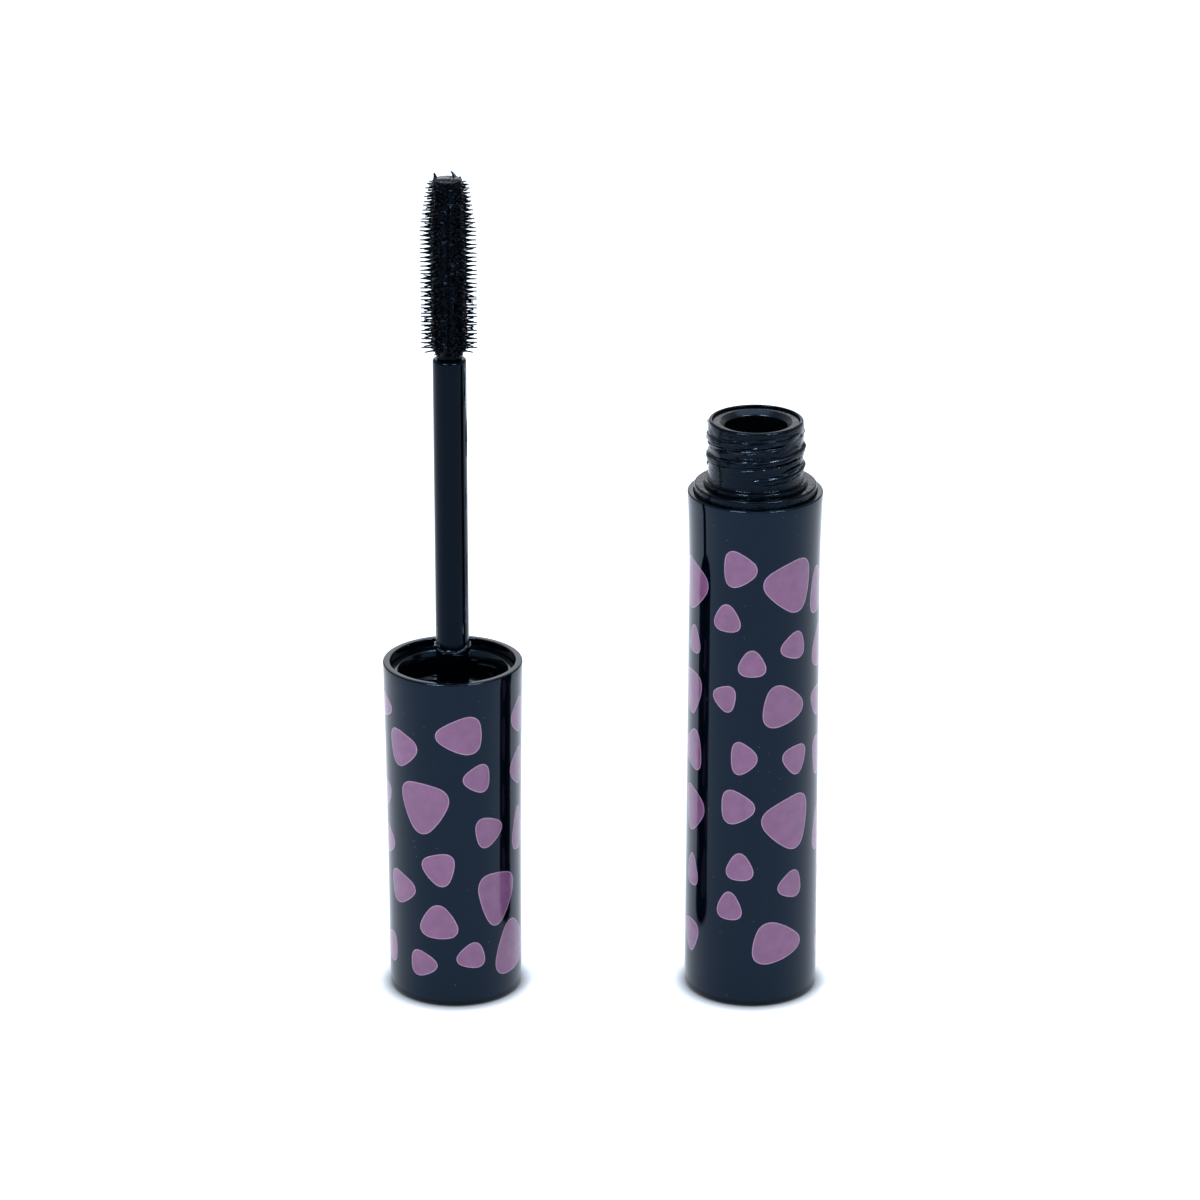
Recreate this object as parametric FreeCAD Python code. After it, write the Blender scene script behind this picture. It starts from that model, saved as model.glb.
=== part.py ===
import FreeCAD, Part
import math
import os
from FreeCAD import Vector

# A mascara tube, open, with its cap standing upside down beside it, in millimetres.
# +Z is up and the ground is z = 0. The cap stands on the -X side and the tube on the +X side,
# and the origin is the middle of the ground that the two cover.

# ---- outer tube ----
tube_height = 67.2           # ground to the rim that the cap's mouth meets
tube_foot_radius = 8.5
tube_waist_radius = 8.22     # the tube narrows a little up to here
tube_waist_height = 57.0
tube_rim_radius = 8.5        # and flares again to its rim
tube_wall = 0.95             # at the waist, where it is thinnest
tube_rim_wall = 0.75
tube_base = 1.2
tube_foot_rounding = 0.8
rim_rounding = 0.2

# ---- inner vial ----
vial_wall = 0.9
vial_floor = 1.0
vial_clearance = 0.08        # round the vial inside the outer tube
vial_base_gap = 0.3          # the vial hangs by its shoulder, clear of the tube's base
shoulder_sunk = 1.6          # how deep the shoulder disc sits in the rim
shoulder_raised = 1.0        # how far it stands above the rim
shoulder_rounding = 0.25
neck_height = 9.3            # rim of the outer tube to the lip of the neck
neck_radius = 5.85
neck_wall = 1.0
neck_bead_radius = 6.55
neck_bead_height = 0.55
lip_rounding = 0.2

# ---- screw thread, right-handed ----
thread_pitch = 2.5
thread_height = 0.5
thread_root_width = 1.3
thread_crest_width = 0.6
thread_bite = 0.2            # how deep a ridge is rooted in its wall
neck_thread_turns = 2.25
neck_thread_start = 2.7      # middle of the ridge's start, above the tube's rim
neck_thread_angle = -100.0   # degrees round the neck from +X
cap_thread_turns = 1.75
cap_thread_angle = 20.0
thread_clearance = 0.25      # crest of one thread to the root of the other

# ---- wiper ----
wiper_flange_recess = 0.3    # the flange lies this far below the neck's lip
wiper_flange_thickness = 0.6
wiper_flange_width = 0.6     # ledge in the neck that carries the flange
wiper_clearance = 0.04
wiper_wall = 0.75
wiper_lead_in_width = 0.6    # cone at the mouth that leads the wand in
wiper_lead_in_depth = 0.5
wiper_sleeve_length = 5.0    # straight part below the flange
wiper_cone_length = 4.0
wiper_land_length = 3.0      # straight scraping part at the orifice
stem_clearance = 0.2         # round the stem in the orifice

# ---- mascara paste ----
fill_height = 56.0           # ground to the top of the paste
fill_clearance = 0.05
fill_channel_gap = 0.2       # round the brush, in the channel that it leaves
fill_under_tip = 0.6         # paste under the tip of the brush

# ---- wand ----
stem_radius = 2.1
stem_root_depth = 8.6        # below the inner cap's ceiling
stem_bead_radius = 2.5
stem_bead_height = 1.2
stem_bead_depth = 3.6        # from the ceiling to the middle of the bead
stem_tip_rounding = 0.35
stem_clearance_in_socket = 0.03
tip_clearance = 1.0          # brush tip to the vial's floor when the cap is on
shank_radius = 1.0
shank_length = 7.0
shank_clearance = 0.03
shank_end_gap = 0.4

# ---- brush ----
brush_radius = 3.5
brush_tip_radius = 2.45
core_radius = 2.05
core_tip_radius = 1.7
core_foot_radius = 1.6       # where the core stands on the stem
core_foot_height = 1.2
core_tip_height = 0.5        # bare end above the last ring of bristles
ring_pitch = 0.55
straight_rings = 28
taper_rings = 12             # the rings nearest the tip, which get shorter and shorter
bristles_per_ring = 12
bristle_root_radius = 0.18
bristle_tip_radius = 0.06
bristle_bite = 0.1           # how deep a bristle is rooted in the core

# ---- cap ----
cap_length = 44.4
cap_foot_radius = 8.5
cap_middle_radius = 8.6
cap_middle_height = 26.0
cap_mouth_radius = 8.85
cap_wall = 1.0               # at the foot
cap_mouth_wall = 0.9
cap_end = 1.5
cap_foot_rounding = 0.8
inner_cap_recess = 1.2       # the insert's rim lies this far inside the cap's mouth
inner_cap_clearance = 0.05
inner_cap_ceiling = 1.4
inner_cap_skirt_below = 3.2  # the skirt goes on below the ceiling to its seat in the shell
inner_cap_lead_in_width = 0.4
inner_cap_lead_in_depth = 0.9
socket_wall = 1.1            # round the stem's root
socket_floor = 1.0
washer_thickness = 0.8
washer_clearance = 0.1       # to the cap's thread outside and to the stem inside

# ---- layout ----
stand_gap = 20.7             # between the cap and the tube, at their widest

# ---- places that follow from the sizes ----
overall_width = 2 * cap_mouth_radius + stand_gap + 2 * tube_rim_radius
cap_x = cap_mouth_radius - overall_width / 2
tube_x = overall_width / 2 - tube_rim_radius

lip_height = tube_height + neck_height
tube_bore = tube_waist_radius - tube_wall
shoulder_bore = tube_rim_radius - tube_rim_wall
shoulder_radius = shoulder_bore - vial_clearance
vial_radius = tube_bore - vial_clearance
vial_bore = vial_radius - vial_wall
vial_base = tube_base + vial_base_gap
vial_floor_top = vial_base + vial_floor
neck_bore = neck_radius - neck_wall
wiper_seat = lip_height - wiper_flange_recess - wiper_flange_thickness
wiper_flange_radius = neck_bore + wiper_flange_width - wiper_clearance
wiper_radius = neck_bore - wiper_clearance
orifice_radius = stem_radius + stem_clearance

thread_crest = neck_radius + thread_height
cap_thread_root = thread_crest + thread_clearance
cap_thread_crest = neck_radius + thread_clearance

ceiling_height = cap_length - neck_height - washer_thickness
stem_root = ceiling_height - stem_root_depth
tip_height = cap_length + tube_height - vial_floor_top - tip_clearance
taper_start = tip_height - core_tip_height - taper_rings * ring_pitch
core_foot_top = taper_start - straight_rings * ring_pitch
stem_top = core_foot_top - core_foot_height
shell_seat = ceiling_height - inner_cap_ceiling - inner_cap_skirt_below
shell_bore = cap_foot_radius - cap_wall
insert_bore = cap_mouth_radius - cap_mouth_wall
insert_radius = insert_bore - inner_cap_clearance


def half_section(start, *steps):
    """Face between the axis and an outline of (radius, height) points.

    A step that is one point is reached by a straight line. A step that is several points is
    reached by a smooth curve through them.
    """
    here = Vector(start[0], 0, start[1])
    edges = []
    for step in steps + (start,):
        if isinstance(step[0], tuple):
            points = [here] + [Vector(radius, 0, height) for radius, height in step]
            curve = Part.BSplineCurve()
            curve.interpolate(points)
            edges.append(curve.toShape())
        else:
            points = [here, Vector(step[0], 0, step[1])]
            edges.append(Part.makeLine(*points))
        here = points[-1]
    return Part.Face(Part.Wire(edges))


def turned(start, *steps):
    """Solid of revolution about Z from its half section."""
    return half_section(start, *steps).revolve(Vector(0, 0, 0), Vector(0, 0, 1), 360)


def rounded(shape, rounding, *circles):
    """The shape with its round edges at these (radius, height) places rounded."""
    def is_at(edge, radius, height):
        curve = edge.Curve
        return (isinstance(curve, Part.Circle) and abs(curve.Radius - radius) < 1e-6
                and abs(curve.Center.z - height) < 1e-6)

    edges = [edge for edge in shape.Edges if any(is_at(edge, *place) for place in circles)]
    return shape.makeFillet(rounding, edges)


def thread_ridge(wall_radius, crest_radius, start_height, start_angle, turns):
    """Helical ridge that stands on a wall, outwards or inwards, and is rooted in it."""
    outwards = 1 if crest_radius > wall_radius else -1
    root_radius = wall_radius - outwards * thread_bite
    half_root = thread_root_width / 2
    half_crest = thread_crest_width / 2
    corners = [Vector(root_radius, 0, -half_root), Vector(crest_radius, 0, -half_crest),
               Vector(crest_radius, 0, half_crest), Vector(root_radius, 0, half_root)]
    profile = Part.makePolygon(corners + corners[:1])
    helix = Part.makeHelix(thread_pitch, thread_pitch * turns, wall_radius)
    ridge = Part.Wire(helix.Edges).makePipeShell([profile], True, True)
    ridge.rotate(Vector(0, 0, 0), Vector(0, 0, 1), start_angle)
    ridge.translate(Vector(0, 0, start_height))
    return ridge


def outer_tube():
    """Sleeve with a closed foot and a ledge inside its rim for the vial's shoulder."""
    ledge = tube_height - shoulder_sunk
    flare_middle = ((tube_waist_radius * 2 + tube_rim_radius) / 3, (tube_waist_height + tube_height) / 2)
    shape = turned(
        (0, 0), (tube_foot_radius, 0), (tube_foot_radius, tube_foot_rounding * 2),
        (tube_waist_radius, tube_waist_height), (flare_middle, (tube_rim_radius, tube_height)),
        (shoulder_bore, tube_height), (shoulder_bore, ledge), (tube_bore, ledge),
        (tube_bore, tube_base), (0, tube_base))
    shape = rounded(shape, tube_foot_rounding, (tube_foot_radius, 0))
    return rounded(shape, rim_rounding, (tube_rim_radius, tube_height))


def inner_vial():
    """Vial that hangs in the outer tube by its shoulder and ends in the threaded neck."""
    shoulder_under = tube_height - shoulder_sunk
    shoulder_top = tube_height + shoulder_raised
    bead_top = shoulder_top + neck_bead_height
    flange_ledge = neck_bore + wiper_flange_width
    shape = turned(
        (0, vial_base), (vial_radius, vial_base), (vial_radius, shoulder_under),
        (shoulder_radius, shoulder_under), (shoulder_radius, shoulder_top),
        (neck_bead_radius, shoulder_top), (neck_bead_radius, bead_top), (neck_radius, bead_top),
        (neck_radius, lip_height), (flange_ledge, lip_height), (flange_ledge, wiper_seat),
        (neck_bore, wiper_seat), (neck_bore, shoulder_under), (vial_bore, shoulder_under - 2 * vial_wall),
        (vial_bore, vial_floor_top), (0, vial_floor_top))
    shape = rounded(shape, shoulder_rounding, (shoulder_radius, shoulder_top))
    shape = rounded(shape, lip_rounding, (neck_bead_radius, bead_top))
    shape = rounded(shape, lip_rounding, (neck_radius, lip_height))
    ridge = thread_ridge(neck_radius, thread_crest, tube_height + neck_thread_start,
                         neck_thread_angle, neck_thread_turns)
    return shape.fuse(ridge)


def wiper():
    """Soft collar: a flange in the lip, a sleeve down the neck and a cone to the orifice."""
    flange_top = wiper_seat + wiper_flange_thickness
    mouth_radius = wiper_radius - wiper_wall
    sleeve_end = wiper_seat - wiper_sleeve_length
    cone_end = sleeve_end - wiper_cone_length
    land_end = cone_end - wiper_land_length
    land_radius = orifice_radius + wiper_wall
    return turned(
        (mouth_radius + wiper_lead_in_width, flange_top), (wiper_flange_radius, flange_top),
        (wiper_flange_radius, wiper_seat), (wiper_radius, wiper_seat), (wiper_radius, sleeve_end),
        (land_radius, cone_end), (land_radius, land_end), (orifice_radius, land_end),
        (orifice_radius, cone_end), (mouth_radius, sleeve_end),
        (mouth_radius, flange_top - wiper_lead_in_depth))


def mascara_fill():
    """Paste in the vial, with the channel that the brush leaves when it is drawn out."""
    radius = vial_bore - fill_clearance
    channel = brush_radius + fill_channel_gap
    channel_floor = vial_floor_top + tip_clearance - fill_under_tip
    return turned(
        (0, vial_floor_top), (radius, vial_floor_top), (radius, fill_height),
        (channel, fill_height), (channel, channel_floor), (0, channel_floor))


def seal_washer():
    """Flat ring on the ceiling of the inner cap, round the wand."""
    outside = cap_thread_crest - washer_clearance
    inside = stem_radius + washer_clearance
    top = ceiling_height + washer_thickness
    return turned((inside, ceiling_height), (outside, ceiling_height), (outside, top), (inside, top))


def cap_shell():
    """Outside of the cap, standing on its closed end, with a ledge that the insert sits on."""
    shape = turned(
        (0, 0), (cap_foot_radius, 0), (cap_foot_radius, cap_foot_rounding * 2),
        ((cap_middle_radius, cap_middle_height), (cap_mouth_radius, cap_length)),
        (insert_bore, cap_length), (insert_bore, shell_seat), (shell_bore, shell_seat),
        (shell_bore, cap_end), (0, cap_end))
    shape = rounded(shape, cap_foot_rounding, (cap_foot_radius, 0))
    return rounded(shape, rim_rounding, (cap_mouth_radius, cap_length))


def inner_cap():
    """Threaded insert: skirt, ceiling and the socket that holds the wand's root."""
    rim = cap_length - inner_cap_recess
    hole = stem_radius + stem_clearance_in_socket
    groove = stem_bead_radius + stem_clearance_in_socket
    groove_middle = ceiling_height - stem_bead_depth
    groove_top = groove_middle + stem_bead_height / 2 + stem_clearance_in_socket
    groove_bottom = groove_middle - stem_bead_height / 2 - stem_clearance_in_socket
    ceiling_under = ceiling_height - inner_cap_ceiling
    socket_radius = groove + socket_wall
    skirt_bore = insert_radius - (insert_radius - cap_thread_root) * 0.75
    shape = turned(
        (0, stem_root - socket_floor), (socket_radius, stem_root - socket_floor),
        (socket_radius, ceiling_under), (skirt_bore, ceiling_under), (skirt_bore, shell_seat),
        (insert_radius, shell_seat), (insert_radius, rim),
        (cap_thread_root + inner_cap_lead_in_width, rim),
        (cap_thread_root, rim - inner_cap_lead_in_depth), (cap_thread_root, ceiling_height),
        (hole, ceiling_height), (hole, groove_top),
        (groove, groove_top), (groove, groove_bottom), (hole, groove_bottom), (hole, stem_root),
        (0, stem_root))
    shape = rounded(shape, lip_rounding, (insert_radius, rim))
    # Screwed home, this ridge lies half a pitch from the neck's: the cap is then turned over,
    # so a height on the neck is counted down from both lengths added together.
    neck_ridge_at_x = neck_thread_start + tube_height - thread_pitch * neck_thread_angle / 360
    home_height = cap_length + tube_height - neck_ridge_at_x + thread_pitch * cap_thread_angle / 360
    turns_down = math.floor((home_height - ceiling_height - thread_root_width) / thread_pitch)
    ridge = thread_ridge(cap_thread_root, cap_thread_crest, home_height - turns_down * thread_pitch,
                         cap_thread_angle, cap_thread_turns)
    return shape.fuse(ridge)


def wand_stem():
    """Rod with a snap bead near its root and a socket in its tip for the brush's shank."""
    bead_middle = ceiling_height - stem_bead_depth
    bead_top = bead_middle + stem_bead_height / 2
    bead_bottom = bead_middle - stem_bead_height / 2
    bore = shank_radius + shank_clearance
    bore_floor = stem_top - shank_length - shank_end_gap
    shape = turned(
        (0, stem_root), (stem_radius, stem_root), (stem_radius, bead_bottom),
        (stem_bead_radius, bead_bottom), (stem_bead_radius, bead_top), (stem_radius, bead_top),
        (stem_radius, stem_top), (bore, stem_top), (bore, bore_floor), (0, bore_floor))
    return rounded(shape, stem_tip_rounding, (stem_radius, stem_top))


def core_body():
    """Core with flat sides, two for each bristle of a ring, so that each root has a flat seat."""
    sides = 2 * bristles_per_ring
    levels = [(core_foot_radius, stem_top), (core_radius, core_foot_top), (core_radius, taper_start),
              (core_tip_radius, tip_height)]
    rings = []
    for radius, height in levels:
        corner_radius = radius / math.cos(math.pi / sides)
        angles = [2 * math.pi * (side + 0.5) / sides for side in range(sides)]
        ring = [Vector(corner_radius * math.cos(a), corner_radius * math.sin(a), height) for a in angles]
        rings.append(ring + ring[:1])
    faces = [Part.Face(Part.makePolygon(ring)) for ring in (rings[0], rings[-1])]
    for lower, upper in zip(rings, rings[1:]):
        for side in range(sides):
            corners = [lower[side], lower[side + 1], upper[side + 1], upper[side], lower[side]]
            faces.append(Part.Face(Part.makePolygon(corners)))
    core = Part.makeSolid(Part.makeShell(faces))
    if core.Volume < 0:
        core.reverse()
    return core


def brush():
    """Moulded brush: shank, core and rings of bristles, every second ring turned half a step.

    Each bristle stands square on its side of the core. Nearer the tip both taper.
    """
    shank = Part.makeCylinder(shank_radius, shank_length, Vector(0, 0, stem_top - shank_length))
    taper_length = tip_height - taper_start
    core_slope = (core_radius - core_tip_radius) / taper_length
    reach_slope = (brush_radius - brush_tip_radius) / taper_length
    bristles = []
    for ring in range(straight_rings + taper_rings):
        height = core_foot_top + (ring + 0.5) * ring_pitch
        tapered = max(0.0, height - taper_start)
        root = core_radius - core_slope * tapered
        length = brush_radius - reach_slope * tapered - root
        lean = core_slope if ring >= straight_rings else 0.0
        for place in range(bristles_per_ring):
            angle = 2 * math.pi * (place + 0.5 * (ring % 2)) / bristles_per_ring
            outwards = Vector(math.cos(angle), math.sin(angle), lean).normalize()
            seat = Vector(root * math.cos(angle), root * math.sin(angle), height)
            bristles.append(Part.makeCone(bristle_root_radius, bristle_tip_radius, length + bristle_bite,
                                          seat - outwards * bristle_bite, outwards))
    return core_body().multiFuse([shank] + bristles)


tube_pieces = [outer_tube, inner_vial, wiper, mascara_fill]
cap_pieces = [cap_shell, inner_cap, seal_washer, wand_stem, brush]

os.makedirs("parts", exist_ok=True)
for pieces, axis_x in ((tube_pieces, tube_x), (cap_pieces, cap_x)):
    for make_piece in pieces:
        piece = make_piece()
        piece.translate(Vector(axis_x, 0, 0))
        piece.exportStep("parts/" + make_piece.__name__ + ".step")
        print(make_piece.__name__, len(piece.Solids), "solid", round(piece.Volume, 2), "mm3", piece.isValid())
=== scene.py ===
# %% [markdown]
# # A mascara tube, open, with its cap standing beside it
# The dimensions live in the CAD model, which this script loads as its frame. The script then
# dresses the frame: each piece gets the shape that a plain solid lacks, and a finish. Every
# length below is in millimetres, and Blender counts in metres, so a length is multiplied by mm.

# %% The frame
import math
import random

import bmesh
import bpy
from mathutils import Matrix, Vector, noise


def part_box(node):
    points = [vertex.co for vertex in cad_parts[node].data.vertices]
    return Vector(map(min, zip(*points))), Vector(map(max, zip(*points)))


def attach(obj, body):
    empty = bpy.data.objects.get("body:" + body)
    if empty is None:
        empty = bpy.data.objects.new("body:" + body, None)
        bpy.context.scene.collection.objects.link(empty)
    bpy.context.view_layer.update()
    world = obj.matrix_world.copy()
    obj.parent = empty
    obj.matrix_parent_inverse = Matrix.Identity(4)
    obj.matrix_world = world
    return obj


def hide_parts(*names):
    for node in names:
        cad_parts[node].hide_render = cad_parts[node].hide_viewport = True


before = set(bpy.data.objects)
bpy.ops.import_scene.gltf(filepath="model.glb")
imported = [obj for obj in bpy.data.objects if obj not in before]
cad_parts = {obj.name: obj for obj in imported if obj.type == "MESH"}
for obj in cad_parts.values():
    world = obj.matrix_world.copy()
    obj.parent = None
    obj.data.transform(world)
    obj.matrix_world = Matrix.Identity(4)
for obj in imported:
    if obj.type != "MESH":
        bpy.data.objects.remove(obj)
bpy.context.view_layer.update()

mm = 0.001
print("frame loaded with", len(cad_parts), "nodes")

# %% [markdown]
# ## Where things are
# Both groups are turned shapes: the tube about one upright axis, and the cap, with its wand,
# about another. The axes and the heights are read from the CAD nodes, so that a change of size
# in the CAD model moves the dressing with it. The radii repeat the CAD model's own values, but
# for the few places where mascara fills or narrows something, and there the text says so.

# %% Axes and heights
def middle_x(node):
    """Upright axis of a round node, in metres."""
    low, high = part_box(node)
    return (low.x + high.x) / 2


tube_axis = middle_x("outer_tube")
cap_axis = middle_x("cap_shell")
tube_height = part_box("outer_tube")[1].z / mm
lip_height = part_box("inner_vial")[1].z / mm
cap_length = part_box("cap_shell")[1].z / mm
insert_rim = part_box("inner_cap")[1].z / mm
ceiling_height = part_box("seal_washer")[0].z / mm
stem_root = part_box("wand_stem")[0].z / mm
stem_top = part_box("wand_stem")[1].z / mm
brush_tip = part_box("brush")[1].z / mm
print("tube axis", round(tube_axis / mm, 2), "cap axis", round(cap_axis / mm, 2))
print("tube", round(tube_height, 2), "lip", round(lip_height, 2), "cap", round(cap_length, 2))
print("stem top", round(stem_top, 2), "brush tip", round(brush_tip, 2))

# %% [markdown]
# ## The camera
# The pair is looked at from the front and from above, through a long lens from about 65 cm, so
# that upright lines stay almost parallel. Pitch is how far the camera looks down, in radians.

# %% Camera
camera_distance = 600
camera_height = 277.0
camera_sideways = -0.21
camera_pitch = 0.3581
camera_data = bpy.data.cameras.new("camera")
camera_data.lens = 152.6
camera_data.sensor_width = 36
camera = bpy.data.objects.new("camera", camera_data)
camera.location = (camera_sideways * mm, -camera_distance * mm, camera_height * mm)
camera.rotation_euler = (math.pi / 2 - camera_pitch, 0, 0)
bpy.context.scene.collection.objects.link(camera)
bpy.context.scene.camera = camera
print("camera looks down", round(math.degrees(camera_pitch), 1), "degrees")

# %% [markdown]
# ## Colours and nodes
# A colour is written as the hex value that a screen shows, and Blender's nodes want linear
# light, so one function turns one into the other. Another adds a node to a material and sets or
# links its sockets, which is all that building a node tree needs.

# %% Helpers for materials
def linear(hex_colour):
    """Linear RGBA of an sRGB hex colour."""
    channels = [int(hex_colour[i:i + 2], 16) / 255 for i in (1, 3, 5)]
    return [c / 12.92 if c <= 0.04045 else ((c + 0.055) / 1.055) ** 2.4 for c in channels] + [1]


def add_node(tree, kind, sockets, **settings):
    """Adds a node. Each socket gets a value, or a link from another node's output."""
    node = tree.nodes.new(kind)
    for name, value in settings.items():
        setattr(node, name, value)
    for name, value in sockets.items():
        if isinstance(value, bpy.types.NodeSocket):
            tree.links.new(value, node.inputs[name])
        else:
            node.inputs[name].default_value = value
    return node


def new_material(name, **sockets):
    """Material with a Principled shader; returns it, its tree, the shader and the place sockets."""
    material = bpy.data.materials.new(name)
    material.use_nodes = True
    tree = material.node_tree
    shader = tree.nodes["Principled BSDF"]
    for socket, value in sockets.items():
        shader.inputs[socket.replace("_", " ")].default_value = value
    place = add_node(tree, "ShaderNodeTexCoord", {}).outputs["Object"]
    return material, tree, shader, place


print("mid grey is", [round(c, 3) for c in linear("#808080")])

# %% [markdown]
# ## High-gloss black plastic
# The cap and the sleeve of the tube are injection moulded in a polished mould from a styrenic
# plastic filled with carbon black. It is almost a black mirror: what the eye sees is a faint,
# cool picture of the room, strong only where the surface turns away. Handling leaves faint
# wipe marks, which change only the roughness, and a few specks of dust. A Mix node takes its
# two colours in sockets 6 and 7, and gives the mixed one from output 2.

# %% Material of the shells
cool_reflection = linear("#abd3ff")
polished, wiped = 0.035, 0.075
wipe_width = 6
speck_spacing = 1.6
speck_core, speck_edge = 0.035, 0.05
gloss_black, tree, shader, place = new_material(
    "moulded_gloss_black", IOR=1.37, Specular_Tint=cool_reflection)
upright = add_node(tree, "ShaderNodeMapping", {"Vector": place, "Scale": (1, 1, 0.3)})
wipes = add_node(tree, "ShaderNodeTexNoise", {
    "Vector": upright.outputs[0], "Scale": 1 / (wipe_width * mm), "Detail": 6.0})
polish = add_node(tree, "ShaderNodeMapRange", {
    "Value": wipes.outputs[0], "From Min": 0.3, "From Max": 0.7, "To Min": polished, "To Max": wiped})
tree.links.new(polish.outputs[0], shader.inputs["Roughness"])
specks = add_node(tree, "ShaderNodeTexVoronoi", {"Vector": place, "Scale": 1 / (speck_spacing * mm)})
dust = add_node(tree, "ShaderNodeMapRange", {
    "Value": specks.outputs["Distance"], "From Min": speck_core, "From Max": speck_edge,
    "To Min": 1.0, "To Max": 0.0})
dusty = add_node(tree, "ShaderNodeMix", {
    "Factor": dust.outputs[0], 6: linear("#020610"), 7: linear("#55606a")}, data_type="RGBA")
tree.links.new(dusty.outputs[2], shader.inputs["Base Color"])
print("made", gloss_black.name)

# %% [markdown]
# ## Pad-printed ink
# The spots are pad printed: a soft pad lifts a film of ink from an etched plate and presses it
# round the plastic. The film is about a hundredth of a millimetre thick, dries glossy, and is
# slightly mottled where it is thin. A thin lighter line runs round each spot, where a white
# underprint shows past the mauve.

# %% Materials of the print
mottle_width = 1.6


def ink(name, thick, thin):
    """Glossy ink that is mottled between the colours of its thick and its thin places."""
    material, tree, shader, place = new_material(name, IOR=1.5, Roughness=0.12)
    clouds = add_node(tree, "ShaderNodeTexNoise", {
        "Vector": place, "Scale": 1 / (mottle_width * mm), "Detail": 5.0})
    mottling = add_node(tree, "ShaderNodeMapRange", {
        "Value": clouds.outputs[0], "From Min": 0.35, "From Max": 0.65})
    tone = add_node(tree, "ShaderNodeMix", {
        "Factor": mottling.outputs[0], 6: linear(thick), 7: linear(thin)}, data_type="RGBA")
    tree.links.new(tone.outputs[2], shader.inputs["Base Color"])
    return material


mauve_ink = ink("pad_printed_mauve", "#966696", "#8b5d8c")
edge_ink = ink("pad_printed_edge", "#bb97c2", "#b08cb8")
print("made", mauve_ink.name, "and", edge_ink.name)

# %% [markdown]
# ## The plastics inside, foam and mascara
# The vial with its neck and the threaded insert of the cap are polypropylene, which is a little
# waxy and never quite flat. The wiper is soft low-density polyethylene, the stem is stiff
# polypropylene drawn through it so often that it is polished, and the washer is black
# polyethylene foam. Mascara is wax and pigment in water: wet, it is the shiniest thing here,
# and its relief breaks the shine into glints.

# %% Materials of the inner pieces
def relieved_black(name, colour, ior, roughness, size, depth, drawn_out=1):
    """Black finish with a relief of noise, size mm wide and depth mm deep, drawn out sideways."""
    material, tree, shader, place = new_material(
        name, Base_Color=linear(colour), Specular_Tint=cool_reflection, IOR=ior)
    squeezed = add_node(tree, "ShaderNodeMapping", {"Vector": place, "Scale": (1, 1, drawn_out)})
    relief = add_node(tree, "ShaderNodeTexNoise", {
        "Vector": squeezed.outputs[0], "Scale": 1 / (size * mm), "Detail": 3.0})
    dullness = add_node(tree, "ShaderNodeMapRange", {
        "Value": relief.outputs[0], "From Min": 0.3, "From Max": 0.7,
        "To Min": roughness[0], "To Max": roughness[1]})
    raised = add_node(tree, "ShaderNodeBump", {"Height": relief.outputs[0], "Distance": depth * mm})
    tree.links.new(dullness.outputs[0], shader.inputs["Roughness"])
    tree.links.new(raised.outputs[0], shader.inputs["Normal"])
    return material


# Smeared: the shine breaks into flat dashes that run round the neck.
neck_plastic = relieved_black("smeared_black_polypropylene", "#010409", 1.27, (0.05, 0.18), 1.8, 0.09, 5)
# Clean moulding: one soft highlight down the bore.
insert_plastic = relieved_black("insert_black_polypropylene", "#020509", 1.45, (0.1, 0.2), 1.2, 0.01)
# Soft plastic: a wide, dim sheen on the flange.
wiper_plastic = relieved_black("soft_black_polyethylene", "#030509", 1.4, (0.16, 0.3), 1.0, 0.015)
# Polished by the wiper: very dark, with thin pale lines along the rod.
stem_plastic = relieved_black("polished_black_stem", "#010409", 1.23, (0.08, 0.16), 3.0, 0.012)
# Wet: small hard glints on every lump.
wet_mascara = relieved_black("wet_mascara", "#010204", 1.45, (0.03, 0.12), 1.0, 0.07, 2)
# Coated bristles: the deepest black, with a fine sparkle at the ends of the bristles.
brush_plastic = relieved_black("mascara_coated_elastomer", "#010103", 1.17, (0.05, 0.16), 0.35, 0.09)
# Foam: no shine at all, and a shade lighter than the plastics round it.
washer_foam = relieved_black("black_polyethylene_foam", "#15181c", 1.5, (0.7, 0.9), 0.25, 0.05)
for name, material in (("mascara_fill", wet_mascara), ("seal_washer", washer_foam)):
    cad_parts[name].data.materials.clear()
    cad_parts[name].data.materials.append(material)
print("made", len(bpy.data.materials), "materials")

# %% [markdown]
# ## Turning an outline
# Almost everything here is turned or moulded round. Half of its section is drawn as a wire of a
# few corners, the corners are rounded with a bevel of the wire, the long runs are divided so
# that shading and relief have points to work with, and spin turns it round the axis.

# %% Helpers for turned pieces
round_steps = 128
print("a turned piece has", round_steps, "steps round")


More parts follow.
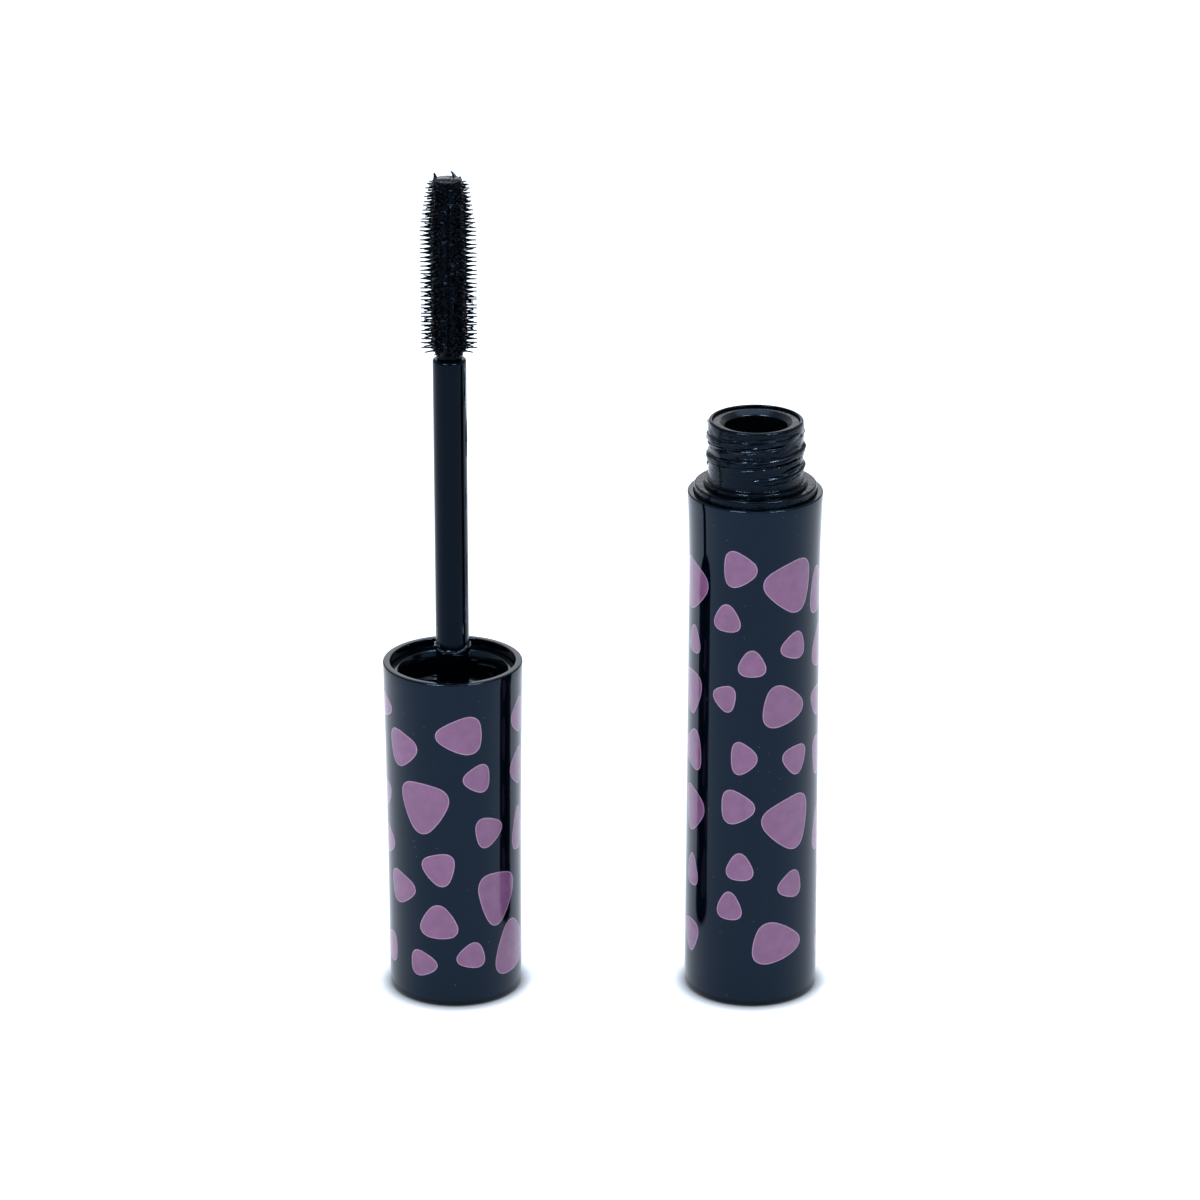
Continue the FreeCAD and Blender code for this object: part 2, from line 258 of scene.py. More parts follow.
def turned(axis, corners, spacing=1.5, fine_spacing=1.5, fine_above=math.inf, steps=round_steps):
    """Closed mesh turned about an upright axis from corners of (radius, height, rounding)."""
    bm = bmesh.new()
    verts = [bm.verts.new((axis + corner[0] * mm, 0, corner[1] * mm)) for corner in corners]
    for here, there, corner, following in zip(
            verts, verts[1:] + verts[:1], corners, corners[1:] + corners[:1]):
        if corner[0] > 0 or following[0] > 0:
            bm.edges.new((here, there))
    for vert, corner in zip(verts, corners):
        if len(corner) > 2:
            bmesh.ops.bevel(bm, geom=[vert], offset=corner[2] * mm, offset_type="OFFSET",
                            segments=5, profile=0.5, affect="VERTICES", material=-1)
    for edge in bm.edges[:]:
        is_fine = min(v.co.z for v in edge.verts) / mm > fine_above
        cuts = int(edge.calc_length() / mm / (fine_spacing if is_fine else spacing))
        if cuts:
            bmesh.ops.subdivide_edges(bm, edges=[edge], cuts=cuts)
    bmesh.ops.spin(bm, geom=bm.verts[:] + bm.edges[:], cent=(axis, 0, 0), axis=(0, 0, 1),
                   angle=math.tau, steps=steps, use_merge=True)
    bmesh.ops.remove_doubles(bm, verts=bm.verts, dist=0.0005 * mm)
    bmesh.ops.recalc_face_normals(bm, faces=bm.faces)
    return bm


def add_to(whole, part):
    """Adds the part to the whole, and frees the part."""
    mesh = bpy.data.meshes.new("part")
    part.to_mesh(mesh)
    part.free()
    whole.from_mesh(mesh)
    bpy.data.meshes.remove(mesh)


def finished(name, bm, body, materials, replaces=(), sharp=40):
    """Makes the mesh an object that rides on its body."""
    bmesh.ops.recalc_face_normals(bm, faces=bm.faces)
    mesh = bpy.data.meshes.new(name)
    bm.to_mesh(mesh)
    bm.free()
    mesh.shade_smooth()
    mesh.set_sharp_from_angle(angle=math.radians(sharp))
    for material in materials:
        mesh.materials.append(material)
    piece = bpy.data.objects.new(name, mesh)
    bpy.context.scene.collection.objects.link(piece)
    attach(piece, body)
    if replaces:
        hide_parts(*replaces)
    print(name, "has", len(mesh.polygons), "faces")


# %% [markdown]
# ## The sleeve of the tube
# The outer tube is a plain sleeve with a closed foot. It narrows by a hair on the way up and
# flares again to its rim, which the cap's mouth meets. A run of points on that flare is enough,
# as smooth shading does the rest.

# %% Sleeve
tube_foot = 8.5
tube_waist = 8.22
tube_rim = 8.5
waist_height = 57.0
tube_bore = 7.27
tube_base = 1.2
shoulder_bore = 7.75
shoulder_seat = tube_height - 1.6
foot_rounding = 0.8
foot_straight = 1.6
rim_rounding = 0.2


def tube_radius(height):
    """Outside radius of the sleeve at a height."""
    if height < waist_height:
        taper_part = max(0, height - foot_straight) / (waist_height - foot_straight)
        return tube_foot + (tube_waist - tube_foot) * taper_part
    flare = (height - waist_height) / (tube_height - waist_height)
    return tube_waist + (tube_rim - tube_waist) * (flare + 2 * flare ** 2) / 3


flare_steps = 8
flare_length = tube_height - waist_height
flare_heights = [waist_height + flare_length * step / flare_steps for step in range(flare_steps)]
sleeve_outline = [(0, 0), (tube_foot, 0, foot_rounding), (tube_foot, foot_straight)]
sleeve_outline += [(tube_radius(height), height) for height in flare_heights]
sleeve_outline += [
    (tube_rim, tube_height, rim_rounding), (shoulder_bore, tube_height, 0.08),
    (shoulder_bore, shoulder_seat), (tube_bore, shoulder_seat), (tube_bore, tube_base), (0, tube_base)]
finished("tube_sleeve", turned(tube_axis, sleeve_outline), "tube",
         [gloss_black], ["outer_tube"])

# %% [markdown]
# ## The shell of the cap
# The cap stands on its closed end here, mouth up. It is a little barrel-shaped: nearly straight
# in its lower half, and wider towards the mouth.

# %% Cap shell
cap_foot = 8.5
cap_mouth = 8.85
barrel_dip = 0.0561
cap_bore = 7.5
cap_end = 1.5
insert_bore = 7.95
shell_seat = ceiling_height - 4.6


def cap_radius(height):
    """Outside radius of the cap at a height."""
    rise = max(0, height - foot_straight) / (cap_length - foot_straight)
    return cap_foot - barrel_dip * rise + (cap_mouth - cap_foot + barrel_dip) * rise ** 2


side_steps = 16
side_length = cap_length - foot_straight
side_heights = [foot_straight + side_length * step / side_steps for step in range(side_steps)]
cap_outline = [(0, 0), (cap_foot, 0, foot_rounding)]
cap_outline += [(cap_radius(height), height) for height in side_heights]
cap_outline += [
    (cap_mouth, cap_length, rim_rounding), (insert_bore, cap_length, 0.1), (insert_bore, shell_seat),
    (cap_bore, shell_seat), (cap_bore, cap_end), (0, cap_end)]
finished("cap_outer", turned(cap_axis, cap_outline), "cap",
         [gloss_black], ["cap_shell"])

# %% [markdown]
# ## The spots
# The print is a scatter of pebble-shaped spots. A pebble is a triangle with well-rounded
# corners, so each spot starts as a circle of three segments whose corners are bevelled, the
# small ones more than the large. Its edges are swelled a little towards a circle, a narrow band
# is inset for the lighter line, the face is cut into strips that can bend, and the film is
# wrapped round the shell.
# A spot is given by its angle from the front, its height, its width and height, and the
# direction in which one of its corners points.

# %% Helpers for the print
film_top = 0.01
film_sunk = 0.01
edge_line = 0.13
strip_width = 0.45
corner_rounding = 0.7
rounding_lost = 0.018
round_radius = 0.66
swell = 0.25
same_point = 0.012
print("a spot rises", film_top, "mm and its lighter line is", edge_line, "mm wide")


def wrap(bm, axis, middle, radius_at):
    """Wraps flat work round an upright axis. X runs round, Z runs up and -Y points outwards."""
    for vert in bm.verts:
        wall = radius_at(vert.co.z / mm) * mm
        angle = math.radians(middle) + vert.co.x / wall
        radius = wall - vert.co.y
        vert.co.x = axis + radius * math.sin(angle)
        vert.co.y = -radius * math.cos(angle)


def pebble(width, tall, corner):
    """Flat rounded triangle of that size, round the origin, facing -Y."""
    bm = bmesh.new()
    turn = Matrix.Rotation(math.pi / 2, 4, "X") @ Matrix.Rotation(math.radians(corner - 90), 4, "Z")
    bmesh.ops.create_circle(bm, cap_ends=True, segments=3, radius=1, matrix=turn)
    rounding = corner_rounding - rounding_lost * max(width, tall)
    bmesh.ops.bevel(bm, geom=bm.verts[:], offset=rounding, offset_type="OFFSET", segments=8,
                    profile=0.5, affect="VERTICES", material=-1)
    long_edges = [edge for edge in bm.edges if edge.calc_length() > 0.2]
    bmesh.ops.subdivide_edges(bm, edges=long_edges, cuts=5)
    for vert in bm.verts:
        vert.co = vert.co.lerp(vert.co.normalized() * round_radius, swell)
    across = [vert.co.x for vert in bm.verts]
    upwards = [vert.co.z for vert in bm.verts]
    centre = Vector((min(across) + max(across), 0, min(upwards) + max(upwards))) / 2
    bmesh.ops.translate(bm, verts=bm.verts, vec=-centre)
    size = (width * mm / (max(across) - min(across)), 1, tall * mm / (max(upwards) - min(upwards)))
    bmesh.ops.scale(bm, verts=bm.verts, vec=size)
    return bm


def spot(axis, radius_at, angle, height, width, tall, corner):
    """Film of ink with a lighter edge, wrapped round the shell."""
    bm = pebble(width, tall, corner)
    band = bmesh.ops.inset_region(bm, faces=bm.faces[:], thickness=edge_line * mm,
                                  use_even_offset=True, use_boundary=True)["faces"]
    for face in band:
        face.material_index = 1
    for cut in range(-int(width / 2 / strip_width), int(width / 2 / strip_width) + 1):
        bmesh.ops.bisect_plane(bm, geom=bm.verts[:] + bm.edges[:] + bm.faces[:], dist=0.01 * mm,
                               plane_co=(cut * strip_width * mm, 0, 0), plane_no=(1, 0, 0))
    bmesh.ops.remove_doubles(bm, verts=bm.verts, dist=same_point * mm)
    bmesh.ops.dissolve_degenerate(bm, edges=bm.edges, dist=same_point * mm)
    top = bmesh.ops.extrude_face_region(bm, geom=bm.faces[:])["geom"]
    top_verts = [item for item in top if isinstance(item, bmesh.types.BMVert)]
    bmesh.ops.translate(bm, verts=bm.verts, vec=(0, film_sunk * mm, height * mm))
    bmesh.ops.translate(bm, verts=top_verts, vec=(0, -(film_sunk + film_top) * mm, 0))
    wrap(bm, axis, angle, radius_at)
    return bm


def printed(name, axis, radius_at, spots, body):
    """All the spots of one shell as one piece."""
    whole = bmesh.new()
    for values in spots:
        add_to(whole, spot(axis, radius_at, *values))
    finished(name, whole, body, [mauve_ink, edge_ink], sharp=60)


# %% [markdown]
# The scatter was drawn for the front and the sides. The back repeats the middle of the front,
# turned upside down and spread wider round the shell, so that no two sides look alike. Turned
# upside down, a spot's height counts down from cap_flip or tube_flip.

# %% Spots of the cap
back_spread = 1.35
front_half = 50
cap_flip = 45.5
cap_spots = [
    (6, 37.4, 6.0, 5.2, 180), (-46, 34.7, 4.9, 5.0, 12), (21, 31.4, 3.6, 3.9, 60),
    (-25, 27.2, 6.8, 7.0, 25), (33, 23.8, 4.0, 4.2, 10), (-13, 19.0, 4.4, 4.6, 45),
    (-50, 15.4, 4.7, 4.5, 8), (42, 14.3, 6.0, 7.4, 262), (-13, 11.8, 5.1, 4.7, 90),
    (-27, 5.7, 3.8, 3.6, 0), (15, 7.1, 3.8, 3.6, 75), (61, 7.0, 6.7, 7.3, 218),
    (-74, 39.4, 4.4, 3.4, 0), (-78, 27.2, 3.9, 3.6, 30), (-74, 21.0, 4.0, 4.4, 0),
    (-73, 6.3, 3.9, 4.2, 60), (69, 38.1, 3.4, 4.8, 180), (68, 31.2, 3.4, 5.1, 60),
    (71, 22.7, 3.2, 6.0, 90)]
cap_back = [(angle * back_spread + 180, cap_flip - height, width, tall, corner + 180)
            for angle, height, width, tall, corner in cap_spots if abs(angle) < front_half]
printed("cap_print", cap_axis, cap_radius, cap_spots + cap_back, "cap")

# %% [markdown]
# The tube is narrower and longer, and its large spots stand on the right, one above the other,
# with smaller ones between them. The lists could be drawn at random too, but printed spots keep
# clear of each other, which is easier to see to when they are listed one by one.

# %% Spots of the tube
tube_flip = 66
tube_spots = [
    (-14, 59.4, 4.3, 4.9, 0), (30, 56.8, 6.9, 7.1, 50), (-26, 52.8, 3.7, 3.7, 90),
    (35, 48.9, 3.7, 3.7, 70), (-3, 47.0, 3.6, 3.6, 90), (-28, 42.0, 3.2, 3.6, 50),
    (27, 41.1, 5.9, 5.7, 110), (-9, 34.2, 3.4, 4.5, 0), (38, 33.4, 3.8, 4.0, 40),
    (-14, 27.5, 4.4, 4.7, 0), (30, 25.0, 6.9, 7.5, 50), (-12, 19.4, 3.6, 3.8, 90),
    (34, 16.5, 3.6, 3.8, 70), (-21, 13.9, 3.4, 3.9, 90), (23, 8.8, 6.9, 5.8, 110),
    (-66, 55.8, 5.8, 6.8, 10), (-66, 48.6, 3.0, 3.8, 90), (-69, 41.3, 4.7, 5.9, 30),
    (-67, 33.8, 4.2, 5.5, 70), (-63, 25.6, 4.5, 6.2, 10), (-65, 17.2, 2.8, 4.4, 90),
    (-66, 8.0, 3.6, 4.5, 30), (70, 55.2, 4.0, 6.2, 100), (73, 47.4, 3.7, 5.8, 80),
    (73, 40.0, 4.1, 4.1, 30), (76, 32.6, 3.7, 5.4, 10), (78, 22.5, 4.0, 6, 100),
    (88, 14, 3.4, 6.0, 80), (83, 5.6, 3.3, 3.6, 30)]
tube_back = [(angle * back_spread + 180, tube_flip - height, width, tall, corner + 180)
             for angle, height, width, tall, corner in tube_spots if abs(angle) < front_half]
printed("tube_print", tube_axis, tube_radius, tube_spots + tube_back, "tube")

# %% [markdown]
# ## Screw threads
# A screw thread is one ridge that climbs as it goes round. Spin does this too: its dvec lifts
# the section a little at every step. A moulded ridge fades into the wall at both ends, where
# its points are drawn back to the wall, but never all the way, as a ridge without any height
# would have faces without any area.

# %% Helper for threads
thread_pitch = 2.5
ridge_root = 1.3
ridge_crest = 0.6
ridge_bite = 0.2
ridge_rounding = 0.18
steps_in_turn = 96
fade_turns = 0.09
least_ridge = 0.1
print("the thread climbs", thread_pitch, "mm in a turn")


def thread(axis, wall, crest, start, start_angle, turns):
    """Ridge that climbs a wall from a height, outwards or inwards."""
    bm = bmesh.new()
    foot = wall - math.copysign(ridge_bite, crest - wall)
    section = [(foot, -ridge_root / 2), (crest, -ridge_crest / 2), (crest, ridge_crest / 2),
               (foot, ridge_root / 2)]
    verts = [bm.verts.new((axis + radius * mm, 0, height * mm)) for radius, height in section]
    bm.faces.new(verts)
    bmesh.ops.bevel(bm, geom=verts[1:3], offset=ridge_rounding * mm, offset_type="OFFSET",
                    segments=3, profile=0.5, affect="VERTICES", material=-1)
    steps = round(steps_in_turn * turns)
    bmesh.ops.spin(bm, geom=bm.verts[:] + bm.edges[:] + bm.faces[:], cent=(axis, 0, 0),
                   axis=(0, 0, 1), dvec=(0, 0, thread_pitch * turns / steps * mm),
                   angle=math.tau * turns, steps=steps)
    for vert in bm.verts:
        flat = Vector((vert.co.x - axis, vert.co.y))
        part_turn = math.atan2(flat.y, flat.x) / math.tau
        whole_turns = round(vert.co.z / mm / thread_pitch - part_turn)
        turn = part_turn + whole_turns
        fade = min(1, max(least_ridge, min(turn, turns - turn) / fade_turns))
        radius = foot + (flat.length / mm - foot) * fade
        flat *= radius * mm / flat.length
        vert.co.x, vert.co.y = axis + flat.x, flat.y
    bmesh.ops.rotate(bm, verts=bm.verts, cent=(axis, 0, 0),
                     matrix=Matrix.Rotation(math.radians(start_angle), 3, "Z"))
    bmesh.ops.translate(bm, verts=bm.verts, vec=(0, 0, start * mm))
    bmesh.ops.recalc_face_normals(bm, faces=bm.faces)
    return bm


# %% [markdown]
# ## Smeared walls
# Where wet mascara has been dragged round a wall many times, the wall is never quite round. A
# sculpting brush could do this, but a smooth noise that moves the points in and out is quicker
# and always gives the same result. It changes slowly round the wall and fast up it, and it
# climbs with the thread, as a smear does when the cap is screwed off.

# %% Helper for smeared walls
smear_fade = 0.6
smear_flatness = 4
print("a smear fades out over", smear_fade, "mm")


def smeared(bm, axis, low, high, inner, depth, size, seed):
    """Moves the points outside a radius and between two heights in and out by smooth noise."""
    for vert in bm.verts:
        flat = Vector((vert.co.x - axis, vert.co.y))
        height = vert.co.z / mm
        if flat.length / mm < inner or not low < height < high:
            continue
        fade = min(1, (height - low) / smear_fade, (high - height) / smear_fade)
        climb = math.atan2(flat.x, -flat.y) / math.tau * thread_pitch
        rise = (height - climb) / size * smear_flatness + seed
        push = noise.noise(Vector((flat.x / mm / size, flat.y / mm / size, rise))) * depth * fade * mm
        flat *= (flat.length + push) / flat.length
        vert.co.x, vert.co.y = axis + flat.x, flat.y


# %% [markdown]
# ## The vial and its neck
# The vial hangs in the sleeve by a shoulder disc, and only the disc and the threaded neck show.
# Mascara fills the grooves of the neck, so its wall is drawn a little thicker than in the CAD
# model and its ridge a little lower. The wall and the ridge are smeared apart, as one noise
# over both would hide the ridge.

# %% Vial
filled_wall = 5.93
ridge_top = 6.2
neck_bead = 6.55
neck_bore = 4.85
flange_bore = neck_bore + 0.6
vial_radius = 7.19
vial_bore = 6.29
vial_base = 1.5
vial_floor = 2.5
shoulder_disc = 7.67
shoulder_top = tube_height + 1.0
bead_top = shoulder_top + 0.55
wiper_seat = lip_height - 0.9
vial_outline = [
    (0, vial_base), (vial_radius, vial_base), (vial_radius, shoulder_seat), (shoulder_disc, shoulder_seat),
    (shoulder_disc, shoulder_top, 0.25), (neck_bead, shoulder_top), (neck_bead, bead_top, 0.2),
    (filled_wall, bead_top, 0.25), (filled_wall, lip_height, 0.3), (flange_bore, lip_height, 0.12),
    (flange_bore, wiper_seat), (neck_bore, wiper_seat), (neck_bore, shoulder_seat),
    (vial_bore, shoulder_seat - 1.8), (vial_bore, vial_floor), (0, vial_floor)]
vial = turned(tube_axis, vial_outline, spacing=3, fine_spacing=0.35, fine_above=bead_top - 0.1)
ridge = thread(tube_axis, filled_wall, ridge_top, tube_height + 2.7, start_angle=-100, turns=2.25)
smeared(vial, tube_axis, bead_top + 2.2, lip_height - 0.2, inner=filled_wall - 0.1,
        depth=0.22, size=1.6, seed=3)
smeared(ridge, tube_axis, bead_top, lip_height, inner=filled_wall + 0.05,
        depth=0.16, size=1.6, seed=11)
add_to(vial, ridge)
finished("vial", vial, "tube", [neck_plastic], ["inner_vial"])

# %% [markdown]
# ## The wiper
# The wiper is a soft collar pressed into the neck. Its flange lies just below the lip, a cone
# leads the brush in, and its far end scrapes the stem. Dried mascara lines its mouth, which is
# drawn a little narrower than in the CAD model.

# %% Wiper
wiper_outer = 4.81
wiper_flange = 5.41
wiper_wall = 0.75
wiper_mouth = 3.85
orifice = 2.3
flange_top = wiper_seat + 0.6
sleeve_end = wiper_seat - 5
cone_end = wiper_seat - 9
land_end = wiper_seat - 12
wiper_outline = [
    (wiper_mouth + 0.7, flange_top, 0.12), (wiper_flange, flange_top, 0.1), (wiper_flange, wiper_seat),
    (wiper_outer, wiper_seat), (wiper_outer, sleeve_end), (orifice + wiper_wall, cone_end),
    (orifice + wiper_wall, land_end), (orifice, land_end, 0.15), (orifice, cone_end),
    (wiper_mouth, sleeve_end), (wiper_mouth, flange_top - 0.5, 0.15)]
finished("wiper_collar", turned(tube_axis, wiper_outline, spacing=0.6), "tube",
         [wiper_plastic], ["wiper"])

# %% [markdown]
# ## The insert of the cap
# A threaded insert is pushed into the cap's mouth and stops a little below its rim. Its mouth
# is a narrow cone that leads the neck in, and one ridge climbs its bore.

# %% Insert
insert_radius = 7.9
insert_root = 6.6
insert_crest = 6.1
socket_radius = 3.63
socket_hole = 2.13
skirt_bore = insert_radius - (insert_radius - insert_root) * 0.75
ceiling_under = ceiling_height - 1.4
insert_outline = [
    (0, stem_root - 1), (socket_radius, stem_root - 1), (socket_radius, ceiling_under),
    (skirt_bore, ceiling_under), (skirt_bore, shell_seat), (insert_radius, shell_seat),
    (insert_radius, insert_rim, 0.2), (insert_root + 0.4, insert_rim, 0.1),
    (insert_root, insert_rim - 0.9), (insert_root, ceiling_height), (socket_hole, ceiling_height),
    (socket_hole, stem_root), (0, stem_root)]
insert = turned(cap_axis, insert_outline, spacing=1.0)
insert_ridge = thread(cap_axis, insert_root, insert_crest, insert_rim - 7.06, start_angle=20, turns=1.75)
add_to(insert, insert_ridge)
finished("cap_insert", insert, "cap", [insert_plastic], ["inner_cap"])

# %% [markdown]
# ## The wand
# The stem is a polished rod held in the insert's socket by a snap bead. A little dried mascara
# clings to it near the top and where it meets the cap.

# %% Stem
stem_radius = 2.1
snap_bead = 2.5
bead_low = ceiling_height - 4.2
bead_high = ceiling_height - 3.0
shank_hole = 1.03
shank_end = stem_top - 7.4
stem_outline = [
    (0, stem_root), (stem_radius, stem_root), (stem_radius, bead_low), (snap_bead, bead_low, 0.1),
    (snap_bead, bead_high, 0.1), (stem_radius, bead_high), (stem_radius, stem_top, 0.35),
    (shank_hole, stem_top), (shank_hole, shank_end), (0, shank_end)]
finished("wand", turned(cap_axis, stem_outline, spacing=1.5, steps=64), "cap",
         [stem_plastic], ["wand_stem"])

# %% [markdown]
# ## The brush
# The brush is moulded in one shot from an elastomer: a core with rings of short bristles. Wet
# mascara fills the gaps between the roots, so the core is drawn lumpy and a little thicker than
# in the CAD model. It ends below the tip, which is bare mascara.

# %% Core of the brush
ring_pitch = 0.55
rings = 39
taper_rings = 12
first_ring = stem_top + 1.2
brush_radius = 3.5
brush_tip_radius = 2.45
shank_radius = 0.99
core_neck = 1.55
core_radius = 2.1
core_top = brush_tip - 0.75


def taper(height):
    """How far along the tapered end of the brush a height is, from 0 to 1."""
    taper_start = brush_tip - 0.5 - taper_rings * ring_pitch
    return min(1, max(0, (height - taper_start) / (brush_tip - taper_start)))


core_outline = [
    (0, shank_end + 0.5), (shank_radius, shank_end + 0.5), (shank_radius, stem_top),
    (core_neck, stem_top), (core_neck + 0.2, stem_top + 0.9), (core_radius, first_ring + 0.2),
    (core_radius, core_top - 7), (core_radius - 0.25, core_top, 0.2), (0, core_top - 0.1)]
core = turned(cap_axis, core_outline, spacing=0.25, steps=56)
smeared(core, cap_axis, stem_top + 0.2, core_top - 0.05, inner=1.2, depth=0.45, size=0.8, seed=29)
finished("brush_core", core, "cap", [brush_plastic], ["brush"], sharp=60)

# %% [markdown]
# Each bristle is two cones of five sides, a slim one and a short stout one of mascara round its
# root. A particle system could scatter them, but moulded bristles stand in rings, so a loop sets
# them out and chance only bends them a little. In the lower third the rings stand in pairs, and
# towards the tip the bristles get shorter.

# %% Bristles
bristles_per_ring = 12
slim_foot = 0.14
slim_tip = 0.075
stout_foot = 0.36
stout_tip = 0.1
pair_shift = 0.08
ring_shift = 0.03
chance = random.Random(7)
bristles = bmesh.new()


def cone(start, outwards, length, foot_radius, tip_radius):
    """Cone of five sides that stands at a place, in millimetres from the axis of the cap."""
    middle = Vector((cap_axis, 0, 0)) + (start + outwards * length / 2) * mm
    matrix = Matrix.Translation(middle) @ outwards.to_track_quat("Z", "Y").to_matrix().to_4x4()
    bmesh.ops.create_cone(bristles, cap_ends=True, segments=5, radius1=foot_radius * mm,
                          radius2=tip_radius * mm, depth=length * mm, matrix=matrix)


for ring in range(rings):
    height = first_ring + (ring + 0.5) * ring_pitch
    tapered = taper(height)
    reach = brush_radius + (brush_tip_radius - brush_radius) * tapered
    root = 1.7 - 0.3 * tapered
    shift = pair_shift if ring < rings / 3 else ring_shift
    height += shift if ring % 2 else -shift
    for place in range(bristles_per_ring):
        angle = math.tau * place / bristles_per_ring + chance.gauss(0, 0.012)
        outwards = Vector((math.cos(angle), math.sin(angle), chance.gauss(0.0, 0.012))).normalized()
        start = Vector((0, 0, height)) + outwards * root
        length = reach - root - abs(chance.gauss(0, 0.04))
        cone(start, outwards, length, slim_foot, slim_tip)
        cone(start, outwards, length * chance.uniform(0.35, 0.55), stout_foot, stout_tip)
finished("brush_bristles", bristles, "cap", [brush_plastic], sharp=80)

# %% [markdown]
# ## Mascara left behind
# Wet mascara is drawn out into short strands and blobs wherever the wand touched. Each is a
# small ball, stretched, given a noisy surface and wrapped round its wall.

# %% Strands and blobs
lumpiness = 0.45
wandering = 0.25


def strand(axis, wall, angle, height, width, tall, thick, slope, seed):
    """Strand of mascara that lies on a wall; slope is how far it climbs to its right."""
    bm = bmesh.new()
    bmesh.ops.create_icosphere(bm, subdivisions=3, radius=1)
    for vert in bm.verts:
        lumps = 1 + lumpiness * noise.noise(vert.co * 1.6 + Vector((seed, 0, 0)))
        across = vert.co.x * width / 2
        wander = wandering * tall * noise.noise(Vector((across * 0.8, seed, 0)))
        upwards = vert.co.z * tall / 2 * lumps + across * slope + height + wander
        vert.co = Vector((across, vert.co.y * thick * lumps, upwards)) * mm
    wrap(bm, axis, angle, lambda z: wall)
    return bm


neck_smears = bmesh.new()
for number in range(44):
    angle = chance.uniform(-180, 180)
    height = chance.uniform(bead_top + 1.3, lip_height - 0.7)
    on_ridge = filled_wall + chance.uniform(-0.03, 0.18)
    add_to(neck_smears, strand(
        tube_axis, on_ridge, angle, height, chance.uniform(2.5, 8), chance.uniform(0.14, 0.4),
        chance.uniform(0.12, 0.22), chance.uniform(0.05, 0.1), number))
for angle, rise, width in ((14, 1.7, 4.2), (50, 2.1, 3.4), (-20, 5.2, 4.0), (24, 6.3, 5.0)):
    add_to(neck_smears, strand(
        tube_axis, filled_wall, angle, bead_top + rise, width,
        tall=0.45, thick=0.3, slope=0.07, seed=angle))
finished("neck_smears", neck_smears, "tube", [wet_mascara], sharp=80)

# %% [markdown]
# Along the stem lie long thin streaks that the wiper missed. A broken ring of dried mascara
# sits just above the mouth of the cap, and a few strands hang in the mouth. Each mark is given
# by its angle from the front, where it sits, its width and height, how far it stands out, and
# its slope.

# %% Mascara on the stem and in the mouth of the cap
stem_foot = insert_rim + 2.9
stem_marks = [
    (62, 80.5, 0.7, 5.5, 0.1, 0), (75, 74, 0.6, 5.0, 0.1, 0), (68, 66, 0.4, 3.0, 0.07, 0),
    (70, 57, 0.4, 4.0, 0.06, 0), (55, 51.5, 0.3, 3.5, 0.04, 0), (40, 49.0, 0.3, 1.8, 0.04, 0.3),
    (80, 44.8, 0.7, 2.4, 0.3, 0), (-60, 48.6, 0.3, 2.2, 0.04, -0.3)]
stem_ring = [
    (-80, 0.4, 2.6, 0.9, 0.24, 0.05), (-40, 0.1, 1.6, 0.5, 0.2, -0.2), (-12, -0.1, 1.8, 0.7, 0.2, 0.25),
    (14, -0.3, 2.2, 0.5, 0.18, -0.15), (45, 0.1, 2.2, 0.8, 0.24, 0.2), (75, 0.2, 2.0, 1.4, 0.3, 0.1),
    (120, -0.1, 3.0, 0.8, 0.2, 0.1), (175, 0, 5.0, 0.8, 0.2, 0), (-130, 0.2, 3.6, 0.7, 0.2, 0)]
stem_smears = bmesh.new()
stem_marks += [(mark[0], stem_foot + mark[1]) + mark[2:] for mark in stem_ring]
for angle, height, width, tall, thick, slope in stem_marks:
    add_to(stem_smears, strand(
        cap_axis, stem_radius, angle, height, width, tall, thick, slope, seed=height + angle))
for angle, depth, width in ((140, 1.6, 3.4), (165, 1.3, 2.5), (118, 2.3, 2.0), (-160, 3.4, 2.6)):
    add_to(stem_smears, strand(
        cap_axis, insert_root, angle, insert_rim - depth, width,
        tall=0.4, thick=0.2, slope=-0.06, seed=angle))
finished("stem_smears", stem_smears, "cap", [wet_mascara], sharp=80)

# %% [markdown]
# The tip of the brush keeps what the wiper pushed up: a wet puddle on its flat end, a tuft at
# the left corner, and on the right a wisp that was drawn out as the wand left the tube. The
# wisp and the tuft are cones whose points lean over further the higher they are.

# %% Mascara on the tip of the brush
wisp_point = 0.1
wisp_waist = 0.3


def wisp(x, y, foot, height, radius, lean):
    """Cone on the tip of the brush whose point leans over; foot is its base below the tip."""
    bm = bmesh.new()
    bmesh.ops.create_cone(bm, cap_ends=True, segments=16, radius1=radius * mm,
                          radius2=wisp_point * mm, depth=height * mm)
    upright_edges = [edge for edge in bm.edges if edge.calc_length() > height * mm * 0.8]
    bmesh.ops.subdivide_edges(bm, edges=upright_edges, cuts=5)
    for vert in bm.verts:
        rise = vert.co.z / (height * mm) + 0.5
        waist = 1 - wisp_waist * math.sin(math.pi * rise)
        vert.co.x = vert.co.x * waist + lean * rise ** 2 * mm
        vert.co.y *= waist
    place = (cap_axis + x * mm, y * mm, (brush_tip - foot + height / 2) * mm)
    bmesh.ops.translate(bm, verts=bm.verts, vec=place)
    return bm


def puddle(x, y, below_tip, wide, deep, tall):
    """Flat drop on the end of the brush."""
    bm = bmesh.new()
    place = Matrix.Translation((cap_axis + x * mm, y * mm, (brush_tip - below_tip) * mm))
    bmesh.ops.create_icosphere(bm, subdivisions=4, radius=1,
                               matrix=place @ Matrix.Diagonal((wide * mm, deep * mm, tall * mm, 1)))
    return bm


